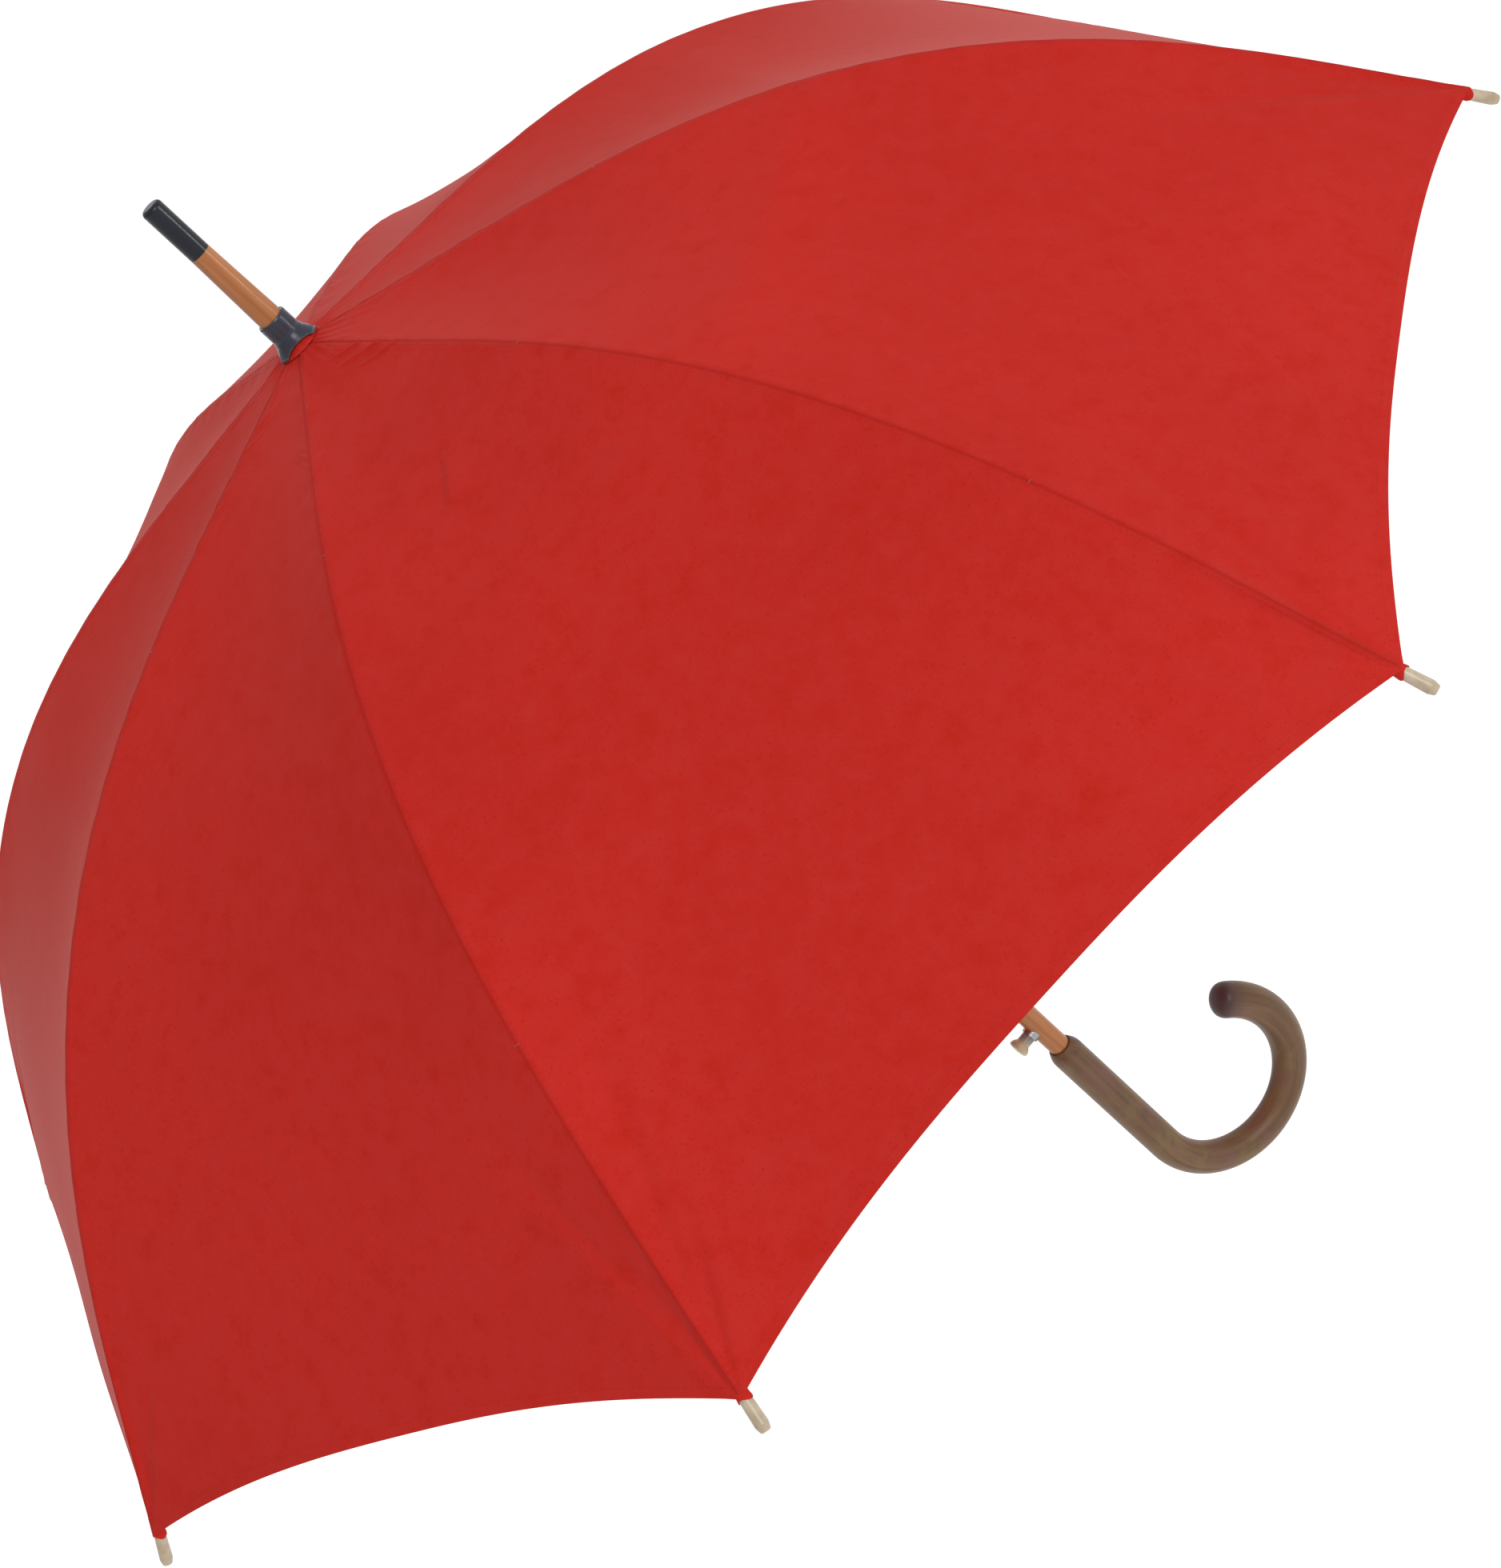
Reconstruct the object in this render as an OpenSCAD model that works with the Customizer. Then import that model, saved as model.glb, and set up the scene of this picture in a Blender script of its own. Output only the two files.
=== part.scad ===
// Stick umbrella with eight ribs, open canopy, wooden shaft and J handle.
// Z runs up the shaft.  The origin is on the shaft axis at the middle of the grip.

/* [Canopy] */
// Length of one rib seam, crown to fabric corner
rib_length = 600; // [560:5:640]
// Slope of the ribs at the crown, degrees below level
crown_slope = 9.5; // [7:0.5:12]
// Slope of the ribs at the tips, degrees below level
tip_slope = 52.4; // [48:0.2:56]
// Share of the rib where the bend starts
bend_start = 0.12; // [0.08:0.01:0.16]
// Share of the rib where the bend ends
bend_end = 0.94; // [0.9:0.01:0.97]
// How far the hem rises between two tips, share of the rib
hem_rise = 0.032; // [0.02:0.002:0.045]
// How far the middle of a panel is pulled in below its seams
panel_sag = 12; // [6:1:16]
// Thickness of the fabric solid
cloth_t = 0.7; // [0.6:0.1:0.8]
// Turn of the first rib from the hook direction
rib_phase = 18.5; // [16:0.5:24]

/* [Frame] */
// Distance from the grip centre up to the crown
crown_z = 685; // [680:1:700]
// Radius of the ring of rib and stretcher pivots
pivot_r = 11; // [10.8:0.1:11.4]
// Height of a rib section
rib_h = 2.4; // [2:0.1:2.6]
// Width of an inner rib
rib_w = 1.8; // [1.6:0.1:1.8]
// Share of the rib where the stretcher is pinned
joint_at = 0.45; // [0.44:0.005:0.46]
// Share of the rib where its flexing middle is
flex_at = 0.48; // [0.475:0.005:0.49]
// Depth of the stretcher lug below the rib
lug_drop = 5.8; // [5.6:0.1:6.2]
// Thickness of the pivot ring wires
wire_d = 1.1; // [1:0.05:1.2]

/* [Shaft and ferrule] */
// Diameter of the wooden shaft
shaft_d = 13.5; // [13:0.1:13.6]
// Diameter of the metal ferrule
ferrule_d = 11.8; // [11.4:0.1:12.2]
// Length of the metal ferrule
ferrule_l = 33; // [30:1:36]
// Height of the ferrule's end above the crown
spike_l = 100; // [95:1:105]
// Height of the top cap
cap_h = 20; // [18:1:22]
// Diameter of the top cap at its petals
cap_d = 26; // [24:0.5:27]

/* [Handle] */
// Diameter of the handle
handle_d = 21; // [20:0.5:22]
// Straight length of the handle
grip_l = 110; // [105:1:115]
// Radius of the hook, to the middle of the wood
hook_r = 52; // [50:1:54]
// How far round the hook goes, degrees
hook_turn = 221; // [210:1:225]
// Diameter of the rounded hook end
hook_end_d = 23.2; // [22:0.2:24]

/* [Runner and button] */
// Outer diameter of the runner sleeve
runner_d = 17.8; // [17.4:0.1:17.9]
// Bore of the runner
runner_bore = 14; // [13.9:0.1:14.2]
// Length of the runner sleeve below its pivots
runner_l = 36; // [30:1:38]
// Height of the push button above the grip centre
button_z = 76; // [75:1:80]
// Travel of the push button
button_travel = 3; // [2:0.5:3]

/* [Rib tips] */
// Diameter of a tip cap
tip_d = 6.4; // [5.8:0.1:6.6]
// Length of a tip cap past the fabric corner
tip_l = 16; // [14:1:18]

/* [Hidden] */
$fn = 64;
steps = 60;
flex_r = 1.5;
fork_half = 1.7;
rivet_r = 0.8;
stem_r = 4.2;
pin_r = 1.9;
seat_depth = button_travel + 0.7;
guide_r = 5.4;
arch_r = 16;
arch_top = 4.6;
arch_turns = [-95, 25, 145];
ds = rib_length / steps;
half = 22.5;
seam_r = 12;
rib_gap = 1.5;
rib_off = cloth_t + rib_gap + rib_h / 2;
pivot_z = -4.2;
shaft_r = shaft_d / 2;
seam_gap = 0.3;

// Slope of the seam at a share s of its length
function ease(t) = t <= 0 ? 0 : t >= 1 ? 1 : t * t * (3 - 2 * t);
function slope(s) = crown_slope
    + (tip_slope - crown_slope) * ease((s - bend_start) / (bend_end - bend_start));

// Seam line in the plane of a rib, [radius, height from the crown]
seam = [for (i = 0, p = [seam_r, 0]; i <= steps;
             p = p + ds * [cos(slope((i + 0.5) / steps)), -sin(slope((i + 0.5) / steps))],
             i = i + 1) p];
function lerp2(a, b, t) = a + (b - a) * t;
function seam_at(s) = let (i = min(floor(s * steps), steps - 1))
    lerp2(seam[i], seam[i + 1], s * steps - i);
// Unit direction across the seam, out of the fabric
function normal_at(s) = [sin(slope(s)), cos(slope(s))];
function rib_at(s) = seam_at(s) - rib_off * normal_at(s);

rib_pin = [pivot_r, pivot_z];
lug_pin = rib_at(joint_at) - lug_drop * normal_at(joint_at);
flex_pin = rib_at(flex_at);
runner_z = 2 * lug_pin[1] - pivot_z;
runner_pin = [pivot_r, runner_z];

// Places a rib plane drawing, X out from the shaft and Y up, on rib k
module on_rib(k) translate([0, 0, crown_z]) rotate([0, 0, rib_phase + 45 * (k - 1)])
    rotate([90, 0, 0]) children();
// A flat plate in the rib plane between two distances from it
module plate(y0, y1) translate([0, 0, y0]) linear_extrude(y1 - y0) children();
module both_sides(y0, y1) for (m = [0, 1]) mirror([0, 0, m]) plate(y0, y1) children();
module disc(c, r, w) translate([c[0], c[1], -w / 2]) cylinder(r = r, h = w);

// Outline of a bar that follows a list of points
function left(a, b, h) = let (d = (b - a) / norm(b - a)) [-d[1], d[0]] * h;
function side(p, h) = [for (i = [0:len(p) - 1])
    p[i] + left(p[max(i - 1, 0)], p[min(i + 1, len(p) - 1)], h)];
module bar2d(p, h) {
    a = side(p, h / 2);
    b = side(p, -h / 2);
    polygon(concat(a, [for (i = [len(b) - 1:-1:0]) b[i]]));
}
function rib_points(s0, s1, n) = [for (i = [0:n]) rib_at(s0 + (s1 - s0) * i / n)];

module rib_inner(k) color("silver") on_rib(k) difference() {
    union() {
        plate(-rib_w / 2, rib_w / 2)
            bar2d(concat([rib_pin], rib_points(0.02, flex_at, 14)), rib_h);
        disc(rib_pin, 1.9, rib_w);
        disc(flex_pin, flex_r, rib_w);
        disc(flex_pin, rivet_r, 2 * fork_half + 0.6);
        plate(-rib_w / 2, rib_w / 2) bar2d([rib_at(joint_at), lug_pin], 4);
        disc(lug_pin, 2, rib_w);
        disc(lug_pin, rivet_r, 4.6);
    }
    disc(rib_pin, wire_d / 2 + 0.1, 3);
}

module rib_outer(k) color("silver") on_rib(k) {
    fork = rib_points(flex_at, flex_at + 0.016, 2);
    difference() {
        union() {
            both_sides(rib_w / 2 + 0.2, fork_half) bar2d(fork, rib_h);
            both_sides(rib_w / 2 + 0.2, fork_half) translate(flex_pin) circle(r = flex_r);
        }
        disc(flex_pin, rivet_r + 0.07, 6);
    }
    plate(-fork_half, fork_half) bar2d(rib_points(flex_at + 0.009, flex_at + 0.016, 2), rib_h);
    difference() {
        plate(-1.3, 1.3) bar2d(rib_points(flex_at + 0.012, 1, 22), rib_h);
        plate(-0.7, 0.7) bar2d([for (q = rib_points(flex_at + 0.03, 0.975, 20))
            q - [0.6, 0.9]], rib_h - 0.6);
    }
    translate(rib_at(1)) rotate([0, 0, -tip_slope]) rotate([0, 90, 0])
        translate([0, 0, -1]) cylinder(r = 1.2, h = 11);
}

module tip_cap(k) color("cornsilk") on_rib(k)
    translate(rib_at(1)) rotate([0, 0, -tip_slope]) rotate([0, 90, 0])
    rotate_extrude() polygon([[1.2, 0.05], [tip_d / 2 - 0.5, 0.05], [tip_d / 2 - 0.3, 0.5],
        [tip_d / 2, tip_l - 3.3], [tip_d / 2 - 0.1, tip_l - 2.7], [tip_d / 2 - 0.8, tip_l - 0.4],
        [tip_d / 2 - 1.2, tip_l], [0, tip_l], [0, 10], [1.2, 10]]);

module stretcher(k) color("silver") on_rib(k) {
    d = (lug_pin - runner_pin) / norm(lug_pin - runner_pin);
    difference() {
        union() {
            both_sides(rib_w / 2 + 0.3, 2) bar2d([lug_pin, lug_pin - 10 * d], 2.4);
            both_sides(rib_w / 2 + 0.3, 2) translate(lug_pin) circle(r = 2);
        }
        disc(lug_pin, rivet_r + 0.07, 6);
    }
    plate(-2, 2) bar2d([lug_pin - 6 * d, lug_pin - 10 * d], 2.4);
    difference() {
        union() {
            plate(-1, 1) bar2d([lug_pin - 8 * d, runner_pin], 2.4);
            disc(runner_pin, 1.8, 2);
        }
        disc(runner_pin, wire_d / 2 + 0.1, 3);
        plate(-0.45, 0.45) translate(-0.9 * [d[1], -d[0]])
            bar2d([lug_pin - 18 * d, runner_pin + 12 * d], 1.8);
    }
}

// One canopy panel as a grid of points: s along the rib, u across the panel
function pull(s, u) = panel_sag * pow(sin(180 * s), 1.5) * (1 - u * u);
function panel_point(s, u, in) = let (
    p = seam_at(s), n = normal_at(s),
    r = max(p[0] * cos(half) - (pull(s, u) + in) * n[0], 3),
    z = p[1] - (pull(s, u) + in) * n[1],
    y = (p[0] * sin(half) - seam_gap) * u) [r, y, z];
function hem_share(u) = 1 - hem_rise * (1 - pow(abs(u), 2.6));
module panel(k, s0, s1, ns, to_hem) {
    nu = 10;
    m = (ns + 1) * (nu + 1);
    function sh(i, u) = s0 + ((to_hem ? hem_share(u) : s1) - s0) * i / ns;
    pts = [for (in = [0, cloth_t]) for (i = [0:ns]) for (j = [0:nu])
        let (u = -1 + 2 * j / nu) panel_point(sh(i, u), u, in)];
    function id(l, i, j) = l * m + i * (nu + 1) + j;
    top = [for (i = [0:ns - 1]) for (j = [0:nu - 1]) each [
        [id(0, i, j), id(0, i + 1, j + 1), id(0, i + 1, j)],
        [id(0, i, j), id(0, i, j + 1), id(0, i + 1, j + 1)]]];
    under = [for (i = [0:ns - 1]) for (j = [0:nu - 1]) each [
        [id(1, i, j), id(1, i + 1, j), id(1, i + 1, j + 1)],
        [id(1, i, j), id(1, i + 1, j + 1), id(1, i, j + 1)]]];
    ends = [for (e = [0, ns]) for (j = [0:nu - 1]) each (e == 0 ? [
        [id(0, 0, j), id(1, 0, j), id(1, 0, j + 1)],
        [id(0, 0, j), id(1, 0, j + 1), id(0, 0, j + 1)]] : [
        [id(0, ns, j), id(1, ns, j + 1), id(1, ns, j)],
        [id(0, ns, j), id(0, ns, j + 1), id(1, ns, j + 1)]])];
    sides = [for (e = [0, nu]) for (i = [0:ns - 1]) each (e == 0 ? [
        [id(0, i, 0), id(1, i + 1, 0), id(1, i, 0)],
        [id(0, i, 0), id(0, i + 1, 0), id(1, i + 1, 0)]] : [
        [id(0, i, nu), id(1, i, nu), id(1, i + 1, nu)],
        [id(0, i, nu), id(1, i + 1, nu), id(0, i + 1, nu)]])];
    translate([0, 0, crown_z]) rotate([0, 0, rib_phase + 45 * (k - 0.5)])
        polyhedron(pts, concat(top, under, ends, sides), convexity = 4);
}
module canopy_inner(k) color("firebrick") panel(k, 0, flex_at - 0.0004, 12, false);
module canopy_outer(k) color("firebrick") panel(k, flex_at + 0.0004, 1, 13, true);

module shaft() color("peru") difference() {
    rotate_extrude() polygon([[0, -25], [shaft_r, -25], [shaft_r, crown_z + cap_h + 4],
        [ferrule_d / 2, crown_z + spike_l - ferrule_l],
        [4, crown_z + spike_l - ferrule_l], [4, crown_z + spike_l - 9],
        [0, crown_z + spike_l - 9]]);
    translate([0, 0, button_z]) rotate([0, -90, 0]) cylinder(r = pin_r + 0.2, h = 20);
    translate([-shaft_r + seat_depth, 0, button_z]) rotate([0, -90, 0])
        cylinder(r = stem_r + 0.2, h = 20);
}

module ferrule() color("dimgray") translate([0, 0, crown_z + spike_l - ferrule_l])
    rotate_extrude() difference() {
        union() {
            square([ferrule_d / 2, ferrule_l - 2.5]);
            square([ferrule_d / 2 - 2.5, ferrule_l]);
            translate([ferrule_d / 2 - 2.5, ferrule_l - 2.5]) intersection() {
                circle(r = 2.5);
                square(3);
            }
        }
        square([4, ferrule_l - 9]);
    }

// Sleeve with a flared skirt, cut by three wide arches into three petals
module top_cap() color("dimgray") difference() {
    translate([0, 0, crown_z]) rotate_extrude() polygon([[shaft_r, 4.4], [shaft_r, cap_h],
        [shaft_r + 1.1, cap_h], [shaft_r + 1.5, cap_h - 0.8], [shaft_r + 1.5, cap_h - 9],
        [shaft_r + 1.8, cap_h - 11], [shaft_r + 2.5, 6.6], [shaft_r + 3.6, 4.6],
        [cap_d / 2 - 1.2, 2.6], [cap_d / 2, 2], [cap_d / 2 - 0.1, 1.3], [cap_d / 2 - 1.2, 1.4],
        [shaft_r + 3, 3.2], [shaft_r + 1.6, 4.4]]);
    for (turn = arch_turns) rotate([0, 0, turn])
        translate([0, 0, crown_z + arch_top - arch_r]) rotate([0, 90, 0])
        cylinder(r = arch_r, h = cap_d, $fn = 128);
}

// Slotted disc that carries a ring of pivots
module hub(z, r_in, r_out, up, down, slot) difference() {
    translate([0, 0, z - down]) cylinder(r = r_out, h = up + down);
    translate([0, 0, z - down - 1]) cylinder(r = r_in, h = up + down + 2);
    for (k = [0:7]) rotate([0, 0, rib_phase + 45 * k])
        translate([pivot_r - 2.6, -slot / 2, z - down - 1]) cube([8, slot, up + down + 2]);
    translate([0, 0, z]) rotate_extrude() translate([pivot_r, 0]) circle(r = wire_d / 2 + 0.02);
}
module pivot_wire(z) translate([0, 0, z]) rotate_extrude()
    translate([pivot_r, 0]) circle(r = wire_d / 2);

module notch() color("dimgray") union() {
    hub(crown_z + pivot_z, shaft_r, 14, 2.2, 3.6, rib_w + 0.6);
    translate([0, 0, crown_z + pivot_z - 12]) difference() {
        cylinder(r = 8.2, h = 8.6);
        translate([0, 0, -1]) cylinder(r = shaft_r, h = 12);
    }
}
module notch_wire() color("silver") pivot_wire(crown_z + pivot_z);

module runner() color("dimgray") {
    z = crown_z + runner_z;
    hub(z, runner_bore / 2, 14, 3.2, 3.2, 2.6);
    difference() {
        union() {
            translate([0, 0, z - runner_l]) cylinder(r = runner_d / 2, h = runner_l - 3);
            translate([0, 0, z - runner_l]) cylinder(r = 10.6, h = 4);
            translate([0, 0, z - runner_l + 4]) cylinder(r1 = 10.6, r2 = runner_d / 2, h = 3);
        }
        translate([0, 0, z - runner_l - 1]) cylinder(r = runner_bore / 2, h = runner_l + 2);
    }
}
module runner_wire() color("silver") pivot_wire(crown_z + runner_z);

module handle() color("saddlebrown") difference() {
    union() {
        translate([0, 0, -grip_l / 2]) rotate_extrude() polygon([[0, 0], [handle_d / 2, 0],
            [handle_d / 2, grip_l - 10], [handle_d / 2 - 0.5, grip_l - 7.5],
            [handle_d / 2 - 2.9, grip_l - 0.7], [handle_d / 2 - 3.4, grip_l], [0, grip_l]]);
        translate([hook_r, 0, -grip_l / 2]) rotate([90, 0, 0]) rotate([0, 0, 180])
            rotate_extrude(angle = hook_turn) translate([hook_r, 0]) circle(d = handle_d);
        translate([hook_r - hook_r * cos(hook_turn), 0,
                   -grip_l / 2 - hook_r * sin(hook_turn)]) sphere(d = hook_end_d);
    }
    translate([0, 0, -25]) cylinder(r = shaft_r, h = 200);
}

// Stem with a flared head, and a pin that runs into the shaft
module push_button() color("ivory") translate([0, 0, button_z]) rotate([0, -90, 0])
    rotate_extrude() polygon([[0, button_travel + 0.4], [pin_r, button_travel + 0.4],
        [pin_r, shaft_r - 0.3],
        [stem_r, shaft_r - 0.3], [stem_r, shaft_r + 7.2], [5.6, shaft_r + 9],
        [6.2, shaft_r + 10.6], [6.2, shaft_r + 11.8], [5.4, shaft_r + 12.6],
        [3, shaft_r + 13.1], [0, shaft_r + 13.2]]);
module button_guide() color("gray") translate([0, 0, button_z]) difference() {
    rotate([0, -90, 0]) cylinder(r = guide_r, h = shaft_r + 1.6);
    rotate([0, -90, 0]) translate([0, 0, -1]) cylinder(r = stem_r + 0.2, h = shaft_r + 8);
    translate([0, 0, -guide_r - 1]) cylinder(r = shaft_r, h = 2 * guide_r + 2);
}

shaft();
ferrule();
top_cap();
notch();
notch_wire();
runner();
runner_wire();
handle();
push_button();
button_guide();
for (k = [1:8]) {
    rib_inner(k);
    rib_outer(k);
    tip_cap(k);
    stretcher(k);
    canopy_inner(k);
    canopy_outer(k);
}
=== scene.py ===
import bpy, bmesh, math, random
import numpy as np
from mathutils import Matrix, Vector


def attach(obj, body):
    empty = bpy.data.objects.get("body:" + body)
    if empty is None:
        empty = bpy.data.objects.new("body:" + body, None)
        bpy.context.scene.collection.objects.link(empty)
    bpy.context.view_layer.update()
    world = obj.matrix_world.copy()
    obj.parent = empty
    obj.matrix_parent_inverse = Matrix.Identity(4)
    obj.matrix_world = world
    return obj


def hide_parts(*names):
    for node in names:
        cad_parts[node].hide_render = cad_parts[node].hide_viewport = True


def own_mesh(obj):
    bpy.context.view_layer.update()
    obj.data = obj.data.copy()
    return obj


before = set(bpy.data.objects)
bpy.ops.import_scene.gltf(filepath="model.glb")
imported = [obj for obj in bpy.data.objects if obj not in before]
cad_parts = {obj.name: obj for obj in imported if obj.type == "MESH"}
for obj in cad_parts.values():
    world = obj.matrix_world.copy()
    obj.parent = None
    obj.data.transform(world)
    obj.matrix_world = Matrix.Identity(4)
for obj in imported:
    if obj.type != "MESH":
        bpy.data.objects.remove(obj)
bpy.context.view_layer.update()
scene = bpy.context.scene

# ---------------------------------------------------------------- sizes, as in the CAD part
MM = 0.001
RIBS = range(1, 9)
PHASE = 18.5                    # angle of rib 1 round the shaft, in degrees
HALF = math.radians(22.5)       # half the angle between two ribs
RIB_L = 0.600                   # length of a seam, from the crown to the tip
CROWN_Z = 0.685                 # height of the seams' upper ends
SEAM_R = 0.012                  # distance of those ends from the shaft's axis
CROWN_SLOPE = 9.5               # a seam's slope at the crown and at the tip, in degrees
TIP_SLOPE = 52.4
BEND0 = 0.12                    # the shares of the seam between which its slope changes
BEND1 = 0.94
FLEX = 0.48                     # share of the seam at which the rib's flexing joint sits
HEM_RISE = 0.032                # how much shorter a panel is in its middle, as a share of the seam
SAG = 0.012                     # how deep a panel sags between its ribs
RIB_OFF = 0.0034                # the rib's axis under the seam
CLOTH_T = 0.0003                # thickness of the cloth that shows
GRIP_HALF = 0.055               # half the length of the handle's straight grip
HANDLE_R = 0.0105               # radius of the grip's section
HOOK_R = 0.052                  # radius of the hook's bend, along its middle
HOOK_TURN = math.radians(221)   # how far the hook turns
HOOK_END_R = 0.0116             # radius of the section at the hook's end


def ease(t):
    """A smooth step from 0 to 1 while t goes from 0 to 1."""
    t = np.clip(t, 0.0, 1.0)
    return t * t * (3 - 2 * t)


def bell(x, mid, width):
    """1 at mid, and falling off to both sides."""
    return np.exp(-((x - mid) / width) ** 2)


def slope(s):
    """Downward slope of the seam, in radians, at a share s of its length."""
    return np.radians(CROWN_SLOPE + (TIP_SLOPE - CROWN_SLOPE) * ease((s - BEND0) / (BEND1 - BEND0)))


# The seam's line: its radius, and its height above the crown, at the ends of small equal steps.
STEPS = 2400
SHARES = np.linspace(0, 1, STEPS + 1)
MIDDLE_SLOPE = slope((np.arange(STEPS) + 0.5) / STEPS)
SEAM_X = SEAM_R + np.concatenate(([0], np.cumsum(np.cos(MIDDLE_SLOPE)))) * RIB_L / STEPS
SEAM_Z = -np.concatenate(([0], np.cumsum(np.sin(MIDDLE_SLOPE)))) * RIB_L / STEPS


def seam_at(s):
    """Radius and height of the seam line at a share s of its length, from the crown."""
    past = np.minimum(s, 0) + np.maximum(s - 1, 0)
    a = slope(np.clip(s, 0, 1))
    return (np.interp(s, SHARES, SEAM_X) + past * RIB_L * np.cos(a),
            np.interp(s, SHARES, SEAM_Z) - past * RIB_L * np.sin(a))


def direction(angle):
    """Level unit vector at an angle round the shaft."""
    return Vector((math.cos(angle), math.sin(angle), 0))


def rib_angle(k):
    return math.radians(PHASE + 45 * (k - 1))


def new_mesh(name, verts, faces, smooth=True):
    """A new object with the given points and faces."""
    me = bpy.data.meshes.new(name)
    me.from_pydata([tuple(v) for v in verts], [], faces)
    me.update()
    if smooth:
        me.polygons.foreach_set("use_smooth", [True] * len(me.polygons))
    ob = bpy.data.objects.new(name, me)
    scene.collection.objects.link(ob)
    return ob


def grid(rows, cols, first=0, flip=False):
    """Faces of a grid of rows by cols points, numbered row by row from first."""
    i, j = np.meshgrid(np.arange(rows - 1), np.arange(cols - 1), indexing="ij")
    a = (first + i * cols + j).ravel()
    q = np.stack([a, a + cols, a + cols + 1, a + 1], 1)
    return q[:, ::-1] if flip else q


def tube_faces(rows, q):
    """Faces of a tube of rows rings with q points each, open at both ends."""
    return [(i * q + j, i * q + (j + 1) % q, (i + 1) * q + (j + 1) % q, (i + 1) * q + j)
            for i in range(rows - 1) for j in range(q)]


# ---------------------------------------------------------------- materials
class Nodes:
    """A short way to write a node tree."""

    def __init__(self, name):
        self.mat = bpy.data.materials.new(name)
        self.mat.use_nodes = True
        self.t = self.mat.node_tree
        self.bsdf = self.t.nodes["Principled BSDF"]

    def add(self, kind, **props):
        inputs = props.pop("inputs", {})
        n = self.t.nodes.new("ShaderNode" + kind)
        for k, v in props.items():
            setattr(n, k, v)
        for k, v in inputs.items():
            self.put(n, k, v)
        return n

    def put(self, node, key, value):
        if isinstance(value, bpy.types.NodeSocket):
            self.t.links.new(value, node.inputs[key])
        else:
            node.inputs[key].default_value = value

    def math(self, op, a, b=None, c=None, clamp=False):
        n = self.add("Math", operation=op, use_clamp=clamp)
        for i, v in enumerate((a, b, c)):
            if v is not None:
                self.put(n, i, v)
        return n.outputs[0]

    def noise(self, vec, scale, detail=3.0, rough=0.5, distortion=0.0):
        return self.add("TexNoise", inputs={"Vector": vec, "Scale": scale, "Detail": detail,
                                            "Roughness": rough, "Distortion": distortion}).outputs["Fac"]

    def ramp(self, fac, *stops):
        n = self.add("ValToRGB", inputs={"Fac": fac})
        e = n.color_ramp.elements
        while len(e) < len(stops):
            e.new(0.5)
        for el, (p, c) in zip(e, stops):
            el.position, el.color = p, (*c, 1)
        return n.outputs[0]

    def mix(self, fac, a, b):
        n = self.add("Mix", data_type="RGBA", blend_type="MIX")
        self.put(n, 0, fac)
        self.put(n, 6, a if isinstance(a, bpy.types.NodeSocket) else (*a, 1))
        self.put(n, 7, b if isinstance(b, bpy.types.NodeSocket) else (*b, 1))
        return n.outputs[2]

    def coords(self, what="Object", scale=(1, 1, 1)):
        c = self.add("TexCoord").outputs[what]
        return self.add("Mapping", inputs={"Vector": c, "Scale": scale}).outputs[0]

    def separate(self, vector, axis):
        return self.add("SeparateXYZ", inputs={0: vector}).outputs[axis]

    def above(self, value, limit, gain):
        """How far value is above limit, times gain, kept between 0 and 1."""
        return self.math("MULTIPLY", self.math("SUBTRACT", value, limit, clamp=True), gain, clamp=True)

    def below(self, value, limit, gain):
        """How far value is below limit, times gain, kept between 0 and 1."""
        return self.math("MULTIPLY", self.math("SUBTRACT", limit, value, clamp=True), gain, clamp=True)

    def attribute(self, name):
        return self.add("Attribute", attribute_name=name).outputs["Fac"]

    def bump(self, height, strength, distance, normal=None):
        inputs = {"Height": height, "Strength": strength, "Distance": distance}
        if normal is not None:
            inputs["Normal"] = normal
        return self.add("Bump", inputs=inputs).outputs[0]

    def out(self, **kw):
        for k, v in kw.items():
            self.put(self.bsdf, k.replace("_", " "), v)
        return self.mat


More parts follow.
